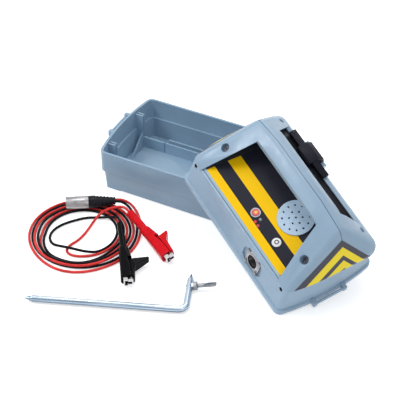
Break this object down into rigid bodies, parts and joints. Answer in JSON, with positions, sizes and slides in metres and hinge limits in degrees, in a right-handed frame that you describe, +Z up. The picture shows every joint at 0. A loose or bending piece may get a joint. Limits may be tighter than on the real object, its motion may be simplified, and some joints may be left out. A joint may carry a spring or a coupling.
{
  "type": "cable locator transmitter kit",
  "caption": "Cable locator transmitter with a gable carrying handle and sloped control panel, with its accessory tray, coiled clip leads and bent earth stake.",
  "frame": {"origin": "on the floor, under the middle of the box round the tray, the transmitter and the stake", "axes": "+Z up from the floor, +X along the tray's length to the right as seen from the front, +Y to the back"},
  "size_m": [0.4268, 0.3632, 0.1665],
  "materials": {
    "case_plastic": "fine moulded texture",
    "panel_plastic": "satin",
    "yellow_overlay": "satin print",
    "black_overlay": "satin print",
    "black_plastic": "satin",
    "white_plastic": "gloss",
    "red_plastic": "gloss",
    "plated_steel": "nickel plated",
    "zinc_steel": "zinc plated",
    "nickel": "satin nickel",
    "gilt_brass": "gold flash",
    "black_rubber": "satin vinyl",
    "red_rubber": "satin vinyl",
    "black_cable": "extruded",
    "red_cable": "extruded",
    "cell_wrap": "plain wrap",
    "board_laminate": "solder mask",
    "ferrite": "sintered",
    "copper_winding": "enamelled",
    "speaker_frame": "black"
  },
  "bodies": {
    "tray": {"tray_shell": "case_plastic"},
    "transmitter": {"lower_case": "case_plastic", "base_plate": "case_plastic", "base_screws": "plated_steel", "battery_holder": "black_plastic", "battery_cells": "cell_wrap", "battery_contacts": "plated_steel", "circuit_board": "board_laminate", "tact_switches": "black_plastic", "ferrite_rod": "ferrite", "antenna_winding": "copper_winding", "handle_front_shell": "case_plastic", "handle_rear_shell": "case_plastic", "handle_screws": "plated_steel", "control_panel": "panel_plastic", "panel_overlay": "yellow_overlay", "rear_overlay": "black_overlay", "end_overlays": "yellow_overlay", "speaker": "speaker_frame", "speaker_grille": "case_plastic", "mode_bezel": "yellow_overlay", "power_ring": "white_plastic", "indicator_lenses": "red_plastic", "socket_shell": "nickel", "socket_insert": "black_plastic", "socket_contacts": "gilt_brass", "socket_screws": "plated_steel", "latch_pin": "plated_steel"},
    "latch": {"latch": "black_plastic"},
    "mode_button": {"mode_button": "red_plastic"},
    "power_button": {"power_button": "black_plastic"},
    "leads": {"plug_shell": "nickel", "plug_boot": "black_rubber", "plug_insert": "black_plastic", "plug_pins": "gilt_brass", "red_coil": "red_cable", "black_coil": "black_cable", "red_plug_tail": "red_cable", "black_plug_tail": "black_cable", "red_clip_tail": "red_cable", "black_clip_tail": "black_cable", "red_clip_boot": "red_rubber", "red_clip_jaw": "plated_steel", "red_clip_pin": "plated_steel", "red_clip_spring": "plated_steel", "black_clip_boot": "black_rubber", "black_clip_jaw": "plated_steel", "black_clip_pin": "plated_steel", "black_clip_spring": "plated_steel"},
    "red_lever": {"red_clip_lever": "red_rubber", "red_clip_moving_jaw": "plated_steel"},
    "black_lever": {"black_clip_lever": "black_rubber", "black_clip_moving_jaw": "plated_steel"},
    "stake": {"stake_rod": "zinc_steel", "stake_nut": "zinc_steel"},
    "wing_screw": {"wing_screw": "zinc_steel"}
  },
  "joints": [
    {"name": "transmitter_lift", "type": "slide", "parent": "tray", "child": "transmitter", "axis": [0, 0, 1], "range_m": [0, 0.12]},
    {"name": "latch_hinge", "type": "hinge", "parent": "transmitter", "child": "latch", "pos_m": [0.08818, 0.09723, 0.11465], "axis": [-0.8189, 0.4614, 0.3412], "range_deg": [0, 155]},
    {"name": "mode_press", "type": "slide", "parent": "transmitter", "child": "mode_button", "axis": [-0.1183, 0.446, -0.8872], "range_m": [0, 0.0006], "stiffness_N_per_m": 600, "springref_m": -0.0005},
    {"name": "power_press", "type": "slide", "parent": "transmitter", "child": "power_button", "axis": [-0.1183, 0.446, -0.8872], "range_m": [0, 0.0006], "stiffness_N_per_m": 600, "springref_m": -0.0005},
    {"name": "leads_lift", "type": "slide", "parent": "tray", "child": "leads", "axis": [0, 0, 1], "range_m": [0, 0.12]},
    {"name": "red_clip_hinge", "type": "hinge", "parent": "leads", "child": "red_lever", "pos_m": [-0.06016, -0.02817, 0.01066], "axis": [-0.0672, -0.2407, 0.9683], "range_deg": [0, 15], "stiffness_Nm_per_rad": 0.3, "springref_deg": -17.19},
    {"name": "black_clip_hinge", "type": "hinge", "parent": "leads", "child": "black_lever", "pos_m": [-0.07564, -0.07999, 0.00906], "axis": [0.0289, -0.0415, 0.9987], "range_deg": [0, 15], "stiffness_Nm_per_rad": 0.3, "springref_deg": -17.19},
    {"name": "stake_lift", "type": "slide", "parent": "tray", "child": "stake", "axis": [0, 0, 1], "range_m": [0, 0.12]},
    {"name": "screw_turn", "type": "hinge", "parent": "stake", "child": "wing_screw", "pos_m": [0.00882, -0.07297, 0.00566], "axis": [0.9132, 0.3505, 0.2079], "continuous": true}
  ]
}
